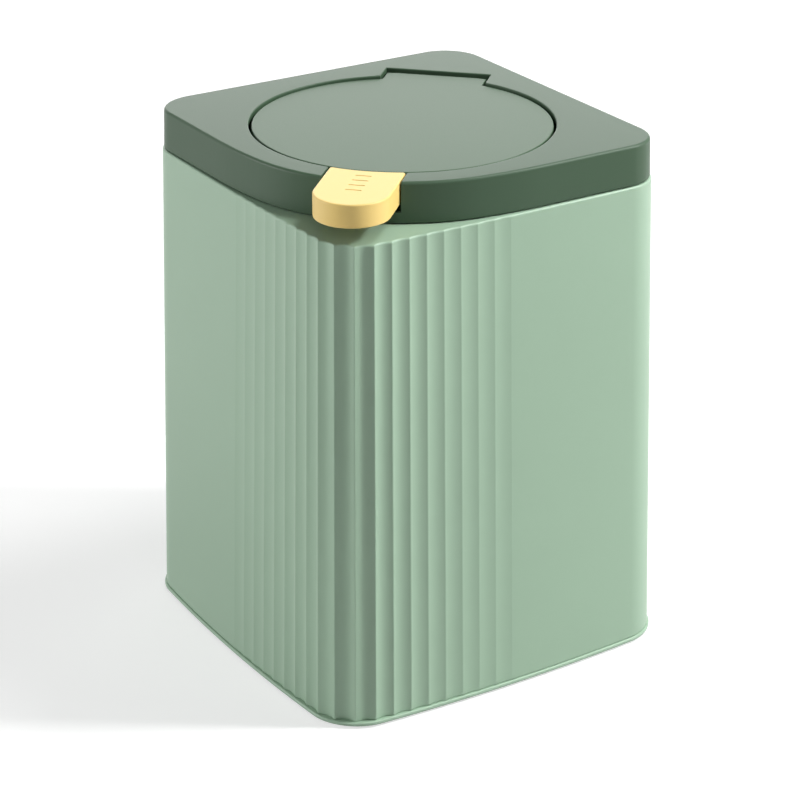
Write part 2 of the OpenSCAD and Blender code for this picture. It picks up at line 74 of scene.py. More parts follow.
def onCircle(centre, radius, angle):
    return (centre[0] + radius * cos(radians(angle)), centre[1] + radius * sin(radians(angle)))


def arc(centre, radius, start, end, count):
    return [onCircle(centre, radius, mix(start, end, i / count)) for i in range(count + 1)]


def quarterTurn(radius, count):
    # a fillet as pairs: how far in from the side, how far below the top
    turns = [90 * i / count for i in range(count + 1)]
    return [(radius * (1 - cos(radians(t))), radius * (1 - sin(radians(t)))) for t in turns]


def rayHit(outline, centre, angle):
    dx, dy = cos(radians(angle)), sin(radians(angle))
    reach = 0
    for (ax, ay), (bx, by) in zip(outline, outline[1:] + outline[:1]):
        ex, ey = bx - ax, by - ay
        px, py = ax - centre[0], ay - centre[1]
        cross = dx * ey - dy * ex
        if abs(cross) > 1e-12:
            along, share = (px * ey - py * ex) / cross, (px * dy - py * dx) / cross
            if -1e-9 <= share <= 1 + 1e-9:
                reach = max(reach, along)
    return (centre[0] + dx * reach, centre[1] + dy * reach)


def atHeight(outline, z):
    return [(x, y, z) for x, y in outline]


def loft(rings, wrap=False, capFirst=False, capLast=False):
    bm = bmesh.new()
    loops = [[bm.verts.new(p) for p in ring] for ring in rings]
    pairs = list(zip(loops, loops[1:])) + ([(loops[-1], loops[0])] if wrap else [])
    count = len(rings[0])
    for low, high in pairs:
        for i in range(count):
            j = (i + 1) % count
            bm.faces.new((low[i], low[j], high[j], high[i]))
    if capFirst:
        bm.faces.new(loops[0])
    if capLast:
        bm.faces.new(loops[-1])
    bmesh.ops.recalc_face_normals(bm, faces=bm.faces)
    return bm


def lathe(profile, centre=(0, 0), segments=96):
    # profile holds (radius, z); a radius of 0 closes the piece on its axis
    bm = bmesh.new()
    rows = []
    for radius, z in profile:
        if radius == 0:
            rows.append([bm.verts.new((*centre, z))])
        else:
            rows.append([bm.verts.new((*onCircle(centre, radius, 360 * i / segments), z))
                         for i in range(segments)])
    pairs = list(zip(rows, rows[1:]))
    if profile[0][0] and profile[-1][0]:
        pairs.append((rows[-1], rows[0]))
    for low, high in pairs:
        for i in range(segments):
            j = (i + 1) % segments
            if len(low) == 1:
                bm.faces.new((low[0], high[i], high[j]))
            elif len(high) == 1:
                bm.faces.new((low[i], low[j], high[0]))
            else:
                bm.faces.new((low[i], low[j], high[j], high[i]))
    bmesh.ops.recalc_face_normals(bm, faces=bm.faces)
    return bm


def prism(outline, low, high):
    return loft([atHeight(outline, low), atHeight(outline, high)], capFirst=True, capLast=True)


def block(x0, x1, y0, y1, z0, z1):
    return prism([(x0, y0), (x1, y0), (x1, y1), (x0, y1)], z0, z1)


def rod(radius, start, end, at, chamfer=0, segments=48):
    # a round bar along the hinges, from start to end, at = (x, z)
    profile = [(0, start), (radius - chamfer, start), (radius, start + chamfer),
               (radius, end - chamfer), (radius - chamfer, end), (0, end)]
    bm = lathe(profile if chamfer else profile[:2] + profile[4:], segments=segments)
    for v in bm.verts:
        v.co = Vector((at[0] + v.co.x, v.co.z, at[1] + v.co.y))
    bmesh.ops.recalc_face_normals(bm, faces=bm.faces)
    return bm


def ear(radius, start, end, at, low, chamfer=0.25):
    # an upright with a round top, from start to end along the hinges, standing at the height low
    rings = []
    for y, inset in ((start, chamfer), (start + chamfer, 0), (end - chamfer, 0), (end, chamfer)):
        outline = arc(at, radius - inset, 0, 180, 16)
        outline += [(at[0] - radius + inset, low), (at[0] + radius - inset, low)]
        rings.append([(x, y, z) for x, z in outline])
    return loft(rings, capFirst=True, capLast=True)


def post(radius, low, high, at):
    return lathe([(0, low), (radius, low), (radius, high), (0, high)], at, 40)


def bothSides(start, end):
    # the two stretches of the hinge line that lie from start to end to its left and right
    return [(start, end), (-end, -start)]


def bevelled(bm, width, steps=2):
    sharp = [e for e in bm.edges if e.calc_face_angle(0) > radians(30)]
    bmesh.ops.bevel(bm, geom=sharp, offset=width, segments=steps, profile=0.5, affect="EDGES")
    return bm


def joined(parts):
    # several bmeshes as one, without cutting them against each other
    whole = bmesh.new()
    for part in parts:
        mesh = bpy.data.meshes.new("part")
        part.to_mesh(mesh)
        part.free()
        whole.from_mesh(mesh)
        bpy.data.meshes.remove(mesh)
    return whole


def combined(base, tools, operation):
    holder, tool = (bpy.data.objects.new("tool", bpy.data.meshes.new("tool")) for i in range(2))
    for item, bm in ((holder, base), (tool, joined(tools))):
        bm.to_mesh(item.data)
        bm.free()
        scene.collection.objects.link(item)
    step = holder.modifiers.new("step", "BOOLEAN")
    step.operation, step.solver, step.object = operation, "EXACT", tool
    result = bmesh.new()
    result.from_object(holder, bpy.context.evaluated_depsgraph_get())
    for item in (holder, tool):
        mesh = item.data
        bpy.data.objects.remove(item)
        bpy.data.meshes.remove(mesh)
    bmesh.ops.remove_doubles(result, verts=result.verts, dist=1e-4)
    return result


def merged(base, *tools):
    return combined(base, tools, "UNION")


def carved(base, *tools):
    return combined(base, tools, "DIFFERENCE")


def addPiece(name, bm, body, slot, node, turn=0, creaseAngle=35):
    bm.transform(Matrix.Rotation(radians(turn), 4, "Z") @ Matrix.Scale(mm, 4))
    mesh = bpy.data.meshes.new(name)
    bm.to_mesh(mesh)
    bm.free()
    mesh.shade_smooth()
    mesh.set_sharp_from_angle(angle=radians(creaseAngle))
    mesh.materials.append(finishes[slot])
    piece = bpy.data.objects.new(name, mesh)
    scene.collection.objects.link(piece)
    weighted = piece.modifiers.new("weighted", "WEIGHTED_NORMAL")
    weighted.keep_sharp = True
    if body:
        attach(piece, body)
    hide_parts(node)
    return piece


def addLidPiece(name, bm, body, slot, node):
    return addPiece(name, bm, body, slot, node, turn=pressTurn)


# camera, at the photograph's angle

def toward(azimuth, elevation):
    a, e = radians(azimuth), radians(elevation)
    return Vector((sin(a) * cos(e), -cos(a) * cos(e), sin(e)))


cameraView = {"azimuth": -32.31, "elevation": 23.52, "distance": 942.9, "aimHeight": 95.8,
              "lens": 119.0, "shift": (-0.0041, -0.0429), "nearest": 0.05}


def addCamera():
    away = toward(cameraView["azimuth"], cameraView["elevation"])
    data = bpy.data.cameras.new("camera")
    data.lens = cameraView["lens"]
    data.shift_x, data.shift_y = cameraView["shift"]
    data.clip_start = cameraView["nearest"]
    camera = bpy.data.objects.new("camera", data)
    camera.location = (Vector((0, 0, cameraView["aimHeight"])) + away * cameraView["distance"]) * mm
    camera.rotation_euler = away.to_track_quat("Z", "Y").to_euler()
    scene.collection.objects.link(camera)
    scene.camera = camera


addCamera()
print("camera placed")


# finishes

plasticLook = {"cloudScale": 14, "cloudDetail": 3, "cloudSpan": (0.3, 0.7), "grainDetail": 2,
               "glossSpread": (0.04, 0.04), "grainStrength": 0.4}
metalLook = {"streakScale": 900, "streakDetail": 3, "glossSpread": (0.08, 0.1), "streakStrength": 0.3,
             "streakDepth": 0.01}


def newMaterial(name):
    material = bpy.data.materials.new(name)
    material.use_nodes = True
    return material, material.node_tree, material.node_tree.nodes["Principled BSDF"]


def addNode(tree, kind, values, **settings):
    node = tree.nodes.new("ShaderNode" + kind)
    for name, value in values.items():
        node.inputs[name].default_value = value
    for name, value in settings.items():
        setattr(node, name, value)
    return node


def noise(tree, scale, detail):
    place = addNode(tree, "TexCoord", {})
    texture = addNode(tree, "TexNoise", {"Scale": scale, "Detail": detail})
    tree.links.new(place.outputs["Object"], texture.inputs["Vector"])
    return texture.outputs["Fac"]


def roughened(tree, shader, pattern, roughness, spread, strength, depth):
    # one pattern in gloss and height
    sheen = addNode(tree, "MapRange", {"To Min": roughness - spread[0], "To Max": roughness + spread[1]})
    tree.links.new(pattern, sheen.inputs["Value"])
    tree.links.new(sheen.outputs["Result"], shader.inputs["Roughness"])
    bump = addNode(tree, "Bump", {"Strength": strength, "Distance": depth * mm})
    tree.links.new(pattern, bump.inputs["Height"])
    tree.links.new(bump.outputs["Normal"], shader.inputs["Normal"])


def plastic(name, colour, roughness, grain=0.02, grainSize=0.35, cloud=0.015, gloss=0.5):
    # moulded plastic: slow cloudiness in the colour, a fine grain in gloss and height
    material, tree, shader = newMaterial(name)
    shader.inputs["Specular IOR Level"].default_value = gloss
    tint = addNode(tree, "ValToRGB", {})
    places = plasticLook["cloudSpan"]
    for stop, factor, place in zip(tint.color_ramp.elements, (1 - cloud, 1 + cloud), places):
        stop.color = (*(min(1, c * factor) for c in colour), 1)
        stop.position = place
    slow = noise(tree, plasticLook["cloudScale"], plasticLook["cloudDetail"])
    tree.links.new(slow, tint.inputs["Fac"])
    tree.links.new(tint.outputs["Color"], shader.inputs["Base Color"])
    fine = noise(tree, 1 / (grainSize * mm), plasticLook["grainDetail"])
    roughened(tree, shader, fine, roughness, plasticLook["glossSpread"], plasticLook["grainStrength"], grain)
    return material


def metal(name, colour, roughness):
    # drawn and plated steel: fine streaks in gloss and height
    material, tree, shader = newMaterial(name)
    shader.inputs["Base Color"].default_value = (*colour, 1)
    shader.inputs["Metallic"].default_value = 1
    streaks = noise(tree, metalLook["streakScale"], metalLook["streakDetail"])
    roughened(tree, shader, streaks, roughness, metalLook["glossSpread"], metalLook["streakStrength"],
              metalLook["streakDepth"])
    return material


finishes = {
    "body_green": plastic("leafGreen", (0.300, 0.432, 0.315), 0.45),
    "lid_green": plastic("mossGreen", (0.047, 0.088, 0.050), 0.45, gloss=0.25),
    "flap_green": plastic("flapGreen", (0.050, 0.098, 0.053), 0.45, gloss=0.27),
    "button_yellow": plastic("butterYellow", (0.82, 0.595, 0.195), 0.45),
    "inner_plastic": plastic("innerGreen", (0.047, 0.088, 0.050), 0.5, gloss=0.25),
    "pad_rubber": plastic("padRubber", (0.045, 0.055, 0.048), 0.75, grain=0.05, gloss=0.3),
    "steel": metal("brightSteel", (0.62, 0.63, 0.64), 0.3),
}
print("finishes made:", len(finishes))


# the bin's body: a rounded square that flares and crowns towards the foot, fluted at one corner

binBody = {
    "topWidth": 130, "flare": 6.2, "height": 172.5, "cornerRadius": 15,
    "crownTop": 0.8, "crownFoot": 3.4, "wall": 1.4, "deck": 2.5, "ledge": 5.9,
    "flutes": 9, "fluteDepth": 1.6, "fluteFade": 0.8, "ridgeRounding": 0.08,
    "edgeRadius": 0.7, "footRadius": 0.4, "openingRadius": 0.4,
    "firstSideSteps": 6, "cornerSteps": 16, "farSideSteps": 12, "farCornerSteps": 8, "heightSteps": 6,
}
fluteStations = (0, .02, .04, .07, .12, .2, .3, .4, .5, .6, .7, .8, .88, .93, .96, .98)
nearly = 1e-9              # keeps a place that lies on a flute's ridge on the right side of it


def walk(s, half, corner):
    # place and facing at the distance s from the fluted corner's middle, along the -Y side
    quarter, flat, c = pi * corner / 4, 2 * (half - corner), half - corner
    if s < quarter:
        centre, facing = (-c, -c), 225 + degrees(s / corner)
    elif s < quarter + flat:
        return (s - quarter - c, -half), 270
    elif s < 3 * quarter + flat:
        centre, facing = (c, -c), 270 + degrees((s - quarter - flat) / corner)
    elif s < 3 * quarter + 2 * flat:
        return (half, s - 3 * quarter - flat - c), 360
    else:
        centre, facing = (c, c), 360 + degrees((s - 3 * quarter - 2 * flat) / corner)
    return onCircle(centre, corner, facing), facing


def flutePitch(half, corner):
    return (pi * corner / 4 + half - corner) / (binBody["flutes"] + 0.5)


def fluteCut(s, half, corner):
    # the flute on the corner is the deepest, and each further one is a share of the one before it
    soft = binBody["ridgeRounding"]
    t = s / flutePitch(half, corner) + 0.5 + nearly
    i = floor(t)
    if i > binBody["flutes"]:
        return 0
    x = abs(2 * (t - i) - 1)
    shape = 1 - x * x if x < 1 - soft else soft + (1 - soft) / soft * (1 - x) ** 2
    return binBody["fluteDepth"] * binBody["fluteFade"] ** i * shape


def bodyOutline(z, inset=0, fluted=True):
    t = (deckZ - z) / binBody["height"]
    half = mix(binBody["topWidth"] / 2, (binBody["topWidth"] + binBody["flare"]) / 2, t) - inset
    corner = binBody["cornerRadius"] - inset
    crown = mix(binBody["crownTop"], binBody["crownFoot"], t)
    quarter, flat, pitch = pi * corner / 4, 2 * (half - corner), flutePitch(half, corner)
    middle = quarter + flat / 2
    stations = [pitch * (i - 0.5 + f) for i in range(binBody["flutes"] + 1) for f in fluteStations]
    stations = [s for s in stations if s >= -nearly]
    turns = (middle, quarter + flat, 3 * quarter + flat, 3 * quarter + 2 * flat, 4 * quarter + 2 * flat)
    counts = [binBody[k] for k in ("firstSideSteps", "cornerSteps", "farSideSteps", "farCornerSteps")]
    for start, end, count in zip(turns, turns[1:], counts):
        stations += [mix(start, end, i / count) for i in range(count)]
    stations.append(turns[-1])
    side = []
    for s in stations:
        (x, y), facing = walk(s, half, corner)
        cut = fluteCut(s, half, corner) if fluted else 0
        x, y = x - cut * cos(radians(facing)), y - cut * sin(radians(facing))
        side.append((x * (1 + crown * (1 - (y / half) ** 2) / half),
                     y * (1 + crown * (1 - (x / half) ** 2) / half)))
    return side + [(y, x) for x, y in side[-2:0:-1]]


lidCover = {
    "halfWidth": 64.8, "cornerRadius": 15, "blendRadius": 175, "frontRadius": 62.7, "wall": 2,
    "openRadius": 52.4, "rimRadius": 52.75, "tabBack": 59.3, "tabWidth": 38.6, "draft": 0.45,
    "notchWidth": 26.4, "notchClear": 2.2,
    "edgeRadius": 1.0, "openingRadius": 0.4, "lowerRadius": 0.3, "notchRadius": 0.25, "sideScrew": 6.304,
    "angleStep": 2, "leastStep": 0.3, "besideNotch": 1.6, "notchReach": 25, "belowNotchSteps": 12,
}
flapShift = 1.33           # from the lid's middle to the flap's, towards the button
flapCentre = (flapShift, 0)


def lidOutline(inset, inPressFrame=True):
    # the lid seen from above: three round corners and a front that runs with the flap
    half, r, blend = lidCover["halfWidth"], lidCover["cornerRadius"] - inset, lidCover["blendRadius"]
    c = half - lidCover["cornerRadius"]
    flapC = -flapShift / sqrt(2)
    dx, dy = blend - lidCover["frontRadius"], blend - half - flapC
    blendX = flapC + sqrt(dx * dx - dy * dy)
    blendA = degrees(asin((blendX - flapC) / dx))
    points = arc((c, -c), r, 270, 360, 20) + arc((c, c), r, 0, 90, 20) + arc((-c, c), r, 90, 180, 20)
    points += arc((blend - half, blendX), blend - inset, 180, 180 + blendA, 8)
    points += arc((flapC, flapC), lidCover["frontRadius"] - inset, 180 + blendA, 270 - blendA, 60)[1:]
    points += arc((blendX, blend - half), blend - inset, 270 - blendA, 270, 8)[1:-1]
    return [turnedBack(x, y) for x, y in points] if inPressFrame else points


def buildBinBody():
    edge, foot = binBody["edgeRadius"], binBody["footRadius"]
    inner = binBody["wall"] + binBody["fluteDepth"]
    levels = [(floorOfBody + down, inset) for inset, down in reversed(quarterTurn(foot, 3))]
    steps = binBody["heightSteps"]
    levels += [(mix(floorOfBody + foot, deckZ - edge, i / steps), 0) for i in range(1, steps)]
    levels += [(deckZ - down, inset) for inset, down in quarterTurn(edge, 5)]
    stack = [atHeight(bodyOutline(z, inset), z) for z, inset in levels]
    angles = [degrees(atan2(y, x)) for x, y, z in stack[-1]]
    for inset, down in reversed(quarterTurn(binBody["openingRadius"], 3)):
        hole = lidOutline(binBody["ledge"] - inset, inPressFrame=False)
        stack.append(atHeight([rayHit(hole, (0, 0), a) for a in angles], deckZ - down))
    stack.append([(x, y, deckZ - binBody["deck"]) for x, y, z in stack[-1]])
    stack += [atHeight(bodyOutline(z, inner, fluted=False), z)
              for z in (deckZ - binBody["deck"], floorOfBody)]
    addPiece("binBody", loft(stack, wrap=True), "bin", "body_green", "bin_body")


buildBinBody()
print("body made")


# the base: a rim round the foot, an upstand inside the body and four rubber pads

basePlate = {"bottom": 0.8, "rim": 1.5, "rimProud": 0.6, "rimRadius": 0.55, "upstand": 10,
             "upstandWall": 2, "upstandChamfer": 0.5, "fit": 0.25, "floor": 2.4}
footPad = {"radius": 6.8, "thickness": 2, "inset": 22, "edge": 0.5, "pocketFit": 0.2,
           "grooveStart": 3.9, "grooveWidth": 1.2, "grooveSlope": 0.3, "grooveDepth": 0.35}


def padCentre(corner):
    reach = (binBody["topWidth"] + binBody["flare"]) / 2 - footPad["inset"]
    return onCircle((0, 0), reach * sqrt(2), pressTurn + 90 * corner)


def buildBase():
    bottom, r = basePlate["bottom"], basePlate["rimRadius"]
    rimTop, top = bottom + basePlate["rim"], bottom + basePlate["rim"] + basePlate["upstand"]
    outer = binBody["wall"] + binBody["fluteDepth"] + basePlate["fit"]
    inner = outer + basePlate["upstandWall"]
    rim = [(inset, bottom + down) for inset, down in reversed(quarterTurn(r, 4))]
    rim += [(inset, rimTop - down) for inset, down in quarterTurn(r, 4)]
    proud, c = basePlate["rimProud"], basePlate["upstandChamfer"]
    stack = [atHeight(bodyOutline(bottom, inset - proud, fluted=False), z) for inset, z in rim]
    for inset, z in ((outer, rimTop), (outer, top - c), (outer + c, top), (inner - c, top),
                     (inner, top - c), (inner, bottom + basePlate["floor"])):
        stack.append(atHeight(bodyOutline(top, inset, fluted=False), z))
    plate = loft(stack, capFirst=True, capLast=True)
    radius, thick = footPad["radius"], footPad["thickness"]
    wide = radius + footPad["pocketFit"]
    pocket = [(0, bottom - past), (wide, bottom - past), (wide, thick), (0, thick)]
    pockets = [lathe(pocket, padCentre(i), 64) for i in range(4)]
    addPiece("basePlate", carved(plate, *pockets), "bin", "body_green", "base_plate")
    groove, slope, deep = footPad["grooveStart"], footPad["grooveSlope"], footPad["grooveDepth"]
    grooveEnd = groove + footPad["grooveWidth"]
    profile = [(0, 0), (groove, 0), (groove + slope, deep), (grooveEnd - slope, deep), (grooveEnd, 0)]
    profile += [(radius - inset, down) for inset, down in reversed(quarterTurn(footPad["edge"], 3))]
    profile += [(radius, thick), (0, thick)]
    for i, place in enumerate(("front", "right", "back", "left")):
        pad = lathe(profile, padCentre(i), 64)
        addPiece("footPad_" + place, pad, "bin", "pad_rubber", "foot_pad_" + place)


buildBase()
print("base and pads made")


# the screws, which the pieces round them are drilled for

screws = {"shank": 1.4, "head": 2.6, "headHeight": 1.5, "hole": 0.3, "thread": 0.03, "bossWall": 1.6,
          "frameLength": 8, "frameSink": 0.2, "flapLength": 4.6, "smallShank": 1.1, "smallHead": 2,
          "smallHeadHeight": 1.2, "smallLength": 4.4, "beyondTip": 0.4, "padWall": 1.2, "padWeb": 1.2,
          "padChamfer": 0.4, "cornerOut": 2, "sideAlong": 14, "frontAngle": 22}


def turnedBack(x, y):
    # a place of the whole bin, as the lid's pieces see it
    a = radians(-pressTurn)
    return (x * cos(a) - y * sin(a), x * sin(a) + y * cos(a))


def framePlaces():
    # the frame's seven screws: three corners, two sides, two at the front
    corner = lidCover["halfWidth"] - lidCover["cornerRadius"] + screws["cornerOut"]
    along, side = screws["sideAlong"], lidCover["halfWidth"] - lidCover["sideScrew"]
    square = [(corner, -corner), (corner, corner), (-corner, corner), (along, -side), (-side, along)]
    ring = (lidCover["openRadius"] + lidCover["frontRadius"] - lidCover["wall"]) / 2
    front = [onCircle(flapCentre, ring, turn * screws["frontAngle"]) for turn in (1, -1)]
    return [turnedBack(*at) for at in square] + front


# the lid's cover: a plate with the flap's opening and the button's notch, and a deep side

def tabbedReach(angle, radius, back, half):
    # how far a circle with a square tab behind it reaches, seen from its centre
    off = abs((angle % 360) - 180)
    if off < degrees(atan2(half, back)):
        return back / cos(radians(off))
    return half / sin(radians(off)) if off < degrees(asin(half / radius)) else radius


def tabAngles(radius, back, half, step):
    corner, root = degrees(atan2(half, back)), degrees(asin(half / radius))
    onTab = [corner * i / 6 for i in range(6)] + [mix(corner, root, i / 3) for i in range(4)]
    count = round((180 - root) / step)
    onRing = [mix(root, 180, i / count) for i in range(1, count + 1)]
    return [180 - a for a in reversed(onTab + onRing)] + [180 + a for a in (onTab + onRing)[1:-1]]


def buildLidCover():
    halfNotch = lidCover["notchWidth"] / 2
    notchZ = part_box("push_button")[0].z / mm - lidCover["notchClear"]
    under = lidZ - lidCover["wall"]
    openRadius, back, half = lidCover["rimRadius"], lidCover["tabBack"], lidCover["tabWidth"] / 2
    start = degrees(asin(halfNotch / openRadius))
    fixed = [a % 360 for a in tabAngles(openRadius, back, half, lidCover["angleStep"])]
    corners = [degrees(atan2(y, x - flapShift)) % 360 for x, y in lidOutline(0)]
    first, least = start + lidCover["besideNotch"], lidCover["leastStep"]
    stations = [start]
    for a in sorted(fixed + corners):
        if first < a < 360 - first and (a - stations[-1] > least or a in fixed):
            if a - stations[-1] <= least:
                stations.pop()
            stations.append(a)
    stations.append(360 - start)

    def turnedIn(a, radius):
        # near the notch a place slides round until it lies on the notch's side
        lean = degrees(asin(halfNotch / radius)) - start
        near = min(a, 360 - a)
        fade = max(0, 1 - (near - start) / lidCover["notchReach"])
        return a + (lean if a < 180 else -lean) * fade

    outlines = {}

    def outside(a, inset, z):
        outline = outlines.setdefault(inset, lidOutline(inset))
        return (*rayHit(outline, flapCentre, turnedIn(a, lidCover["frontRadius"] - inset)), z)

    def side(a, inset, z):
        # the outside leans in towards the top
        return outside(a, inset + lidCover["draft"] * (z - lidBottom) / (lidZ - lidBottom), z)

    def inside(a, inset, z):
        reach = tabbedReach(a, openRadius + inset, back + inset, half + inset)
        return (*onCircle(flapCentre, reach, turnedIn(a, openRadius + inset)), z)

    low, edge, rim = lidCover["lowerRadius"], lidCover["edgeRadius"], lidCover["openingRadius"]
    wall = lidCover["wall"]
    ribs = []
    for a in stations:
        rib = [side(a, inset, lidBottom + down) for inset, down in reversed(quarterTurn(low, 3))]
        rib += [side(a, 0, notchZ)]
        rib += [side(a, inset, lidZ - down) for inset, down in quarterTurn(edge, 5)]
        rib += [inside(a, inset, lidZ - down) for inset, down in reversed(quarterTurn(rim, 3))]
        rib += [inside(a, 0, under)]
        rib += [outside(a, wall, z) for z in (under, notchZ, lidBottom)]
        ribs.append(rib)
    bm = bmesh.new()
    rows = [[bm.verts.new(p) for p in rib] for rib in ribs]
    count, notchRow = len(ribs[0]), len(quarterTurn(low, 3))
    for one, two in zip(rows, rows[1:]):
        for i in range(count):
            j = (i + 1) % count
            bm.faces.new((one[i], one[j], two[j], two[i]))
    caps = [bm.faces.new(rows[0][notchRow:count - 1]), bm.faces.new(rows[-1][notchRow:count - 1])]
    # below the notch the side carries on
    wallRows = list(range(notchRow + 1)) + [count - 2, count - 1]
    previous = [rows[-1][i] for i in wallRows]
    steps = lidCover["belowNotchSteps"]
    for k in range(1, steps + 1):
        if k < steps:
            share = mix(-1, 1, k / steps)
            current = []
            for i in wallRows:
                x, y, z = ribs[0][i]
                a = degrees(atan2(y, x - flapShift))
                radius = sqrt((x - flapShift) ** 2 + y * y)
                current.append(bm.verts.new((*onCircle(flapCentre, radius, a * share), z)))
        else:
            current = [rows[0][i] for i in wallRows]
        for i in range(len(wallRows)):
            j = (i + 1) % len(wallRows)
            bm.faces.new((previous[i], previous[j], current[j], current[i]))
        previous = current
    bmesh.ops.recalc_face_normals(bm, faces=bm.faces)
    notchEdges = {e for cap in caps for e in cap.edges if e.calc_face_angle_signed(0) > radians(30)}
    bmesh.ops.bevel(bm, geom=list(notchEdges), offset=lidCover["notchRadius"], segments=2,
                    profile=0.5, affect="EDGES")
    bossLow = deckZ + screws["frameSink"] + screws["headHeight"] + screws["hole"] + screws["padWeb"]
    tip = deckZ + screws["frameSink"] + screws["headHeight"] + screws["frameLength"] + screws["beyondTip"]
    bosses = [post(screws["shank"] + screws["bossWall"], bossLow, under + sunk, at) for at in framePlaces()]
    pilots = [post(screws["shank"] + screws["thread"], bossLow - past, tip, at) for at in framePlaces()]
    bm = carved(merged(bm, *bosses), *pilots)
    addLidPiece("lidCover", bm, "lid", "lid_green", "lid_cover")


buildLidCover()
print("lid cover made")


# the flap: a round cover with a hinge tab, over a round liner

flapCover = {"gap": 1.0, "tabGap": 2.6, "rise": 0.5, "topLayer": 1, "thickness": 2.2, "edgeRadius": 0.45,
             "lowerRadius": 0.27, "knuckleRadius": 2.8, "knuckleLength": 6.8, "knuckleStart": 11.2,
             "knuckleChamfer": 0.3, "relief": 2.5, "screwRing": 38.4}
flapLiner = {"inset": 3.5, "wall": 1.6, "lowerRadius": 1.0, "innerCorner": 0.6, "lipThickness": 1.6,
             "lipWidth": 14, "lipUnder": 0.6, "lipEnd": 51.73, "lipBevel": 0.3, "holeDepth": 3}
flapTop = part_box("flap_cover")[1].z / mm
flapUnder = flapTop - flapCover["thickness"]
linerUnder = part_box("flap_liner")[0].z / mm


def pinHeight(node):
    low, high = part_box(node)
    return (low.z + high.z) / 2 / mm


pins = {"radius": 1.25, "fit": 0.05, "press": 0.03, "chamfer": 0.25, "hingeBack": 2.4, "latchIn": 0.1}
hinge = (flapShift - lidCover["openRadius"] - pins["hingeBack"], pinHeight("hinge_pin"))

flapScrewPlaces = [onCircle(flapCentre, flapCover["screwRing"], a) for a in (45, 135, 225, 315)]


def buildFlapCover():
    gap, edge = flapCover["gap"], flapCover["edgeRadius"]
    radius, back = lidCover["rimRadius"] - gap, lidCover["tabBack"] - flapCover["tabGap"]
    half = lidCover["tabWidth"] / 2 - gap

    def raised(x, y, z):
        # the top rises from the hinge to the button
        share = (x - flapShift + back) / (radius + back)
        return (x, y, z + (flapCover["rise"] * share if z > flapTop - flapCover["topLayer"] else 0))

    levels = [(inset, flapUnder + down) for inset, down in reversed(quarterTurn(flapCover["lowerRadius"], 2))]
    levels += [(inset, flapTop - down) for inset, down in quarterTurn(edge, 4)]
    angles = tabAngles(radius, back, half, lidCover["angleStep"])
    stack = [[raised(*onCircle(flapCentre, tabbedReach(a, radius - i, back - i, half - i), a), z)
              for a in angles] for i, z in levels]
    cover = loft(stack, capFirst=True, capLast=True)
    start, end = flapCover["knuckleStart"], flapCover["knuckleStart"] + flapCover["knuckleLength"]
    grown = [rod(flapCover["knuckleRadius"], y0, y1, hinge, chamfer=flapCover["knuckleChamfer"])
             for y0, y1 in bothSides(start, end)]
    bossLow, bossRadius = linerUnder + flapLiner["wall"], screws["shank"] + screws["bossWall"]
    grown += [post(bossRadius, bossLow, flapUnder + sunk, at) for at in flapScrewPlaces]
    cover = merged(cover, *grown)
    cut = [rod(flapCover["relief"], -start, start, hinge)]
    cut.append(rod(pins["radius"] + pins["fit"], -end - past, end + past, hinge))
    tip = linerUnder + screws["flapLength"] + screws["beyondTip"]
    cut += [post(screws["shank"] + screws["thread"], linerUnder, tip, at) for at in flapScrewPlaces]
    for tool in cut:
        cover = carved(cover, tool)
    addLidPiece("flapCover", cover, "flap", "flap_green", "flap_cover")


buildFlapCover()
print("flap made")


# the button

pushButton = {"width": 25.4, "length": 33, "wall": 1.8, "edgeRadius": 0.55, "lowerRadius": 0.4,
              "backCorner": 1.0, "hollowAngle": 11.6, "grooves": 4, "groovePitch": 4.6, "grooveStart": 1.5,
              "grooveLength": 5.6, "grooveWidth": 0.7, "grooveDepth": 0.3, "grooveLip": 0.12,
              "grooveFloor": (0.6, 0.95), "postWall": 1.3, "postSide": 6.6, "postClear": 0.2,
              "slotClear": 0.8, "slotAbove": 0.6, "slotBehind": 3}
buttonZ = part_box("push_button")[0].z / mm
buttonBack = flapShift + lidCover["openRadius"]
noseCentre = (buttonBack + pushButton["length"] - pushButton["width"] / 2, 0)
latchPin = (buttonBack - pins["latchIn"], pinHeight("lever_pin"))
latchLever = {"barrel": 2.4, "width": 20, "plate": 1.7, "faceIn": 1.5, "upright": 3, "toothWidth": 13,
              "toothUnder": linerUnder + 2.5, "toothTop": linerUnder + 4.3, "toothNose": 0.7, "bite": 1.2,
              "end": 60.3, "barrelChamfer": 0.25, "stemStep": 0.2, "toothRoot": 1,
              "bevels": (0.3, 0.3, 0.25, 0.15)}
postX = latchPin[0] + latchLever["barrel"] + screws["smallHead"] - pushButton["postClear"]
postPlaces = [(postX, turn * pushButton["postSide"]) for turn in (-1, 1)]


def buttonOutline(inset):
    half, corner = pushButton["width"] / 2, pushButton["backCorner"]
    points = arc(noseCentre, half - inset, -90, 90, 40)
    ring = lidCover["openRadius"]
    # the back follows the flap, with a small round at each end
    cornerY = half - corner
    cornerX = flapShift + sqrt((ring + corner) ** 2 - cornerY ** 2)
    lean = degrees(atan2(cornerY, cornerX - flapShift))
    points += arc((cornerX, cornerY), corner - inset, 90, 180 + lean, 6)
    points += arc(flapCentre, ring + inset, lean, -lean, 14)[1:-1]
    points += arc((cornerX, -cornerY), corner - inset, 180 - lean, 270, 6)
    return points


